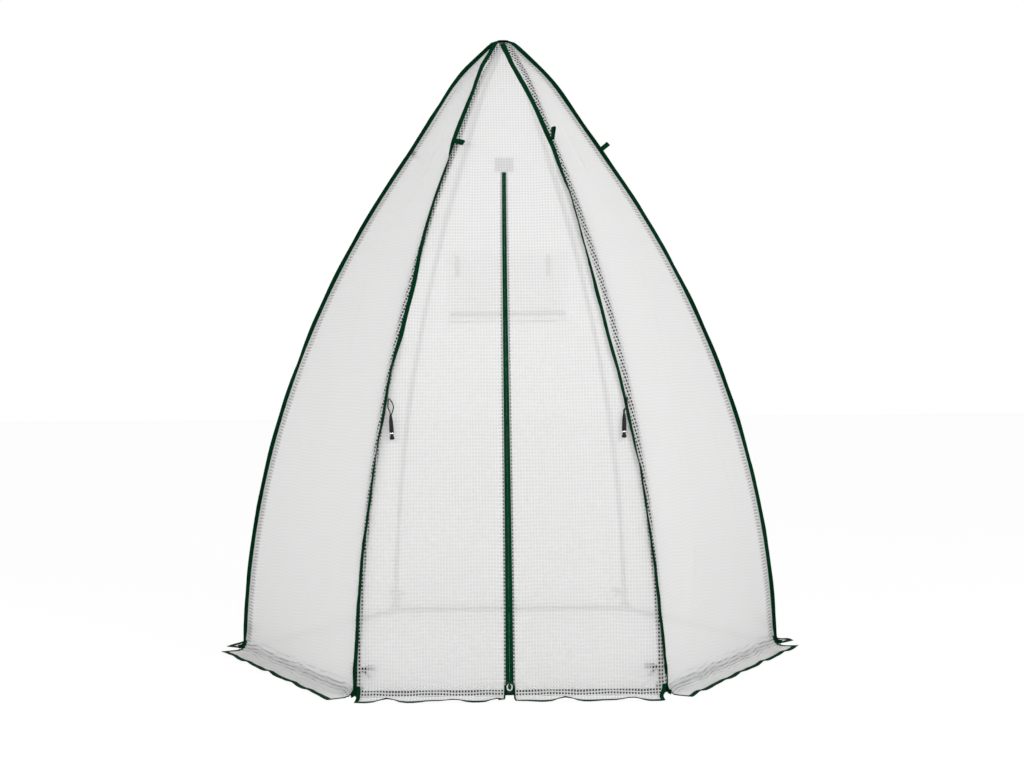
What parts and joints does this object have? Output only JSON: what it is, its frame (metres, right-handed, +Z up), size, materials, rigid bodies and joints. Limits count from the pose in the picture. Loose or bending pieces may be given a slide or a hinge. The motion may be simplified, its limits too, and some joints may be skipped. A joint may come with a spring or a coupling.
{
  "type": "walk-in greenhouse",
  "caption": "Hexagonal walk-in garden greenhouse: curved steel ribs under a reinforced film cover with ground skirt, zipped front door and back window.",
  "frame": {"origin": "on the ground, at the middle of the hexagon", "axes": "+Z up, -Y out through the door, +X to the right when facing the door"},
  "size_m": [1.9238, 1.7116, 2.0286],
  "materials": {
    "steel": "dark powder-coated thin steel tube",
    "black_plastic": "moulded black plastic",
    "film": "clear film with a woven reinforcing grid",
    "green_binding": "dark green woven tape",
    "net": "fine pale insect net",
    "plated_metal": "plated metal"
  },
  "bodies": {
    "cover_and_frame": {"front_left_rib_1": "steel", "front_left_rib_2": "steel", "front_left_rib_3": "steel", "front_left_rib_4": "steel", "front_right_rib_1": "steel", "front_right_rib_2": "steel", "front_right_rib_3": "steel", "front_right_rib_4": "steel", "right_rib_1": "steel", "right_rib_2": "steel", "right_rib_3": "steel", "right_rib_4": "steel", "back_right_rib_1": "steel", "back_right_rib_2": "steel", "back_right_rib_3": "steel", "back_right_rib_4": "steel", "back_left_rib_1": "steel", "back_left_rib_2": "steel", "back_left_rib_3": "steel", "back_left_rib_4": "steel", "left_rib_1": "steel", "left_rib_2": "steel", "left_rib_3": "steel", "left_rib_4": "steel", "front_base_tube": "steel", "right_front_base_tube": "steel", "right_back_base_tube": "steel", "back_base_tube": "steel", "left_back_base_tube": "steel", "left_front_base_tube": "steel", "front_left_corner": "black_plastic", "front_right_corner": "black_plastic", "right_corner": "black_plastic", "back_right_corner": "black_plastic", "back_left_corner": "black_plastic", "left_corner": "black_plastic", "apex_hub": "black_plastic", "front_panel": "film", "right_front_panel": "film", "right_back_panel": "film", "back_panel": "film", "left_back_panel": "film", "left_front_panel": "film", "left_door_fold": "film", "right_door_fold": "film", "zip_end_patch": "film", "seam_bindings": "green_binding", "zip_top": "green_binding", "window_net": "net"},
    "left_door": {"left_door_flap": "film", "left_zip_tape": "green_binding"},
    "right_door": {"right_door_flap": "film", "right_zip_tape": "green_binding"},
    "slider": {"zip_slider": "black_plastic"},
    "pull": {"zip_pull": "plated_metal"},
    "window": {"window_flap": "film"},
    "left_tie": {"left_toggle": "black_plastic"},
    "right_tie": {"right_toggle": "black_plastic"}
  },
  "joints": [
    {"name": "left_door_swing", "type": "hinge", "parent": "cover_and_frame", "child": "left_door", "pos_m": [-0.43005, -0.766, 0], "axis": [-0.2958, -0.2242, -0.9286], "range_deg": [0, 90], "deforming": ["left_door_fold"]},
    {"name": "right_door_swing", "type": "hinge", "parent": "cover_and_frame", "child": "right_door", "pos_m": [0.43005, -0.766, 0], "axis": [-0.2958, 0.2242, 0.9286], "range_deg": [0, 90], "deforming": ["right_door_fold"]},
    {"name": "zip_slide", "type": "hinge", "parent": "cover_and_frame", "child": "slider", "pos_m": [0, 2.44029, -0.05988], "axis": [-1, 0, 0], "range_deg": [0, 27.9]},
    {"name": "pull_swing", "type": "hinge", "parent": "slider", "child": "pull", "pos_m": [0, -0.77362, 0.03468], "axis": [-1, 0, 0], "range_deg": [0, 150]},
    {"name": "window_flap_lift", "type": "hinge", "parent": "cover_and_frame", "child": "window", "pos_m": [0, 0.43548, 1.35989], "axis": [1, 0, 0], "range_deg": [0, 115]},
    {"name": "left_toggle_swing", "type": "hinge", "parent": "cover_and_frame", "child": "left_tie", "pos_m": [-0.34842, -0.64599, 0.83698], "axis": [-1, 0, 0], "range_deg": [0, 100]},
    {"name": "right_toggle_swing", "type": "hinge", "parent": "cover_and_frame", "child": "right_tie", "pos_m": [0.34842, -0.64599, 0.83698], "axis": [-1, 0, 0], "range_deg": [0, 100]}
  ]
}
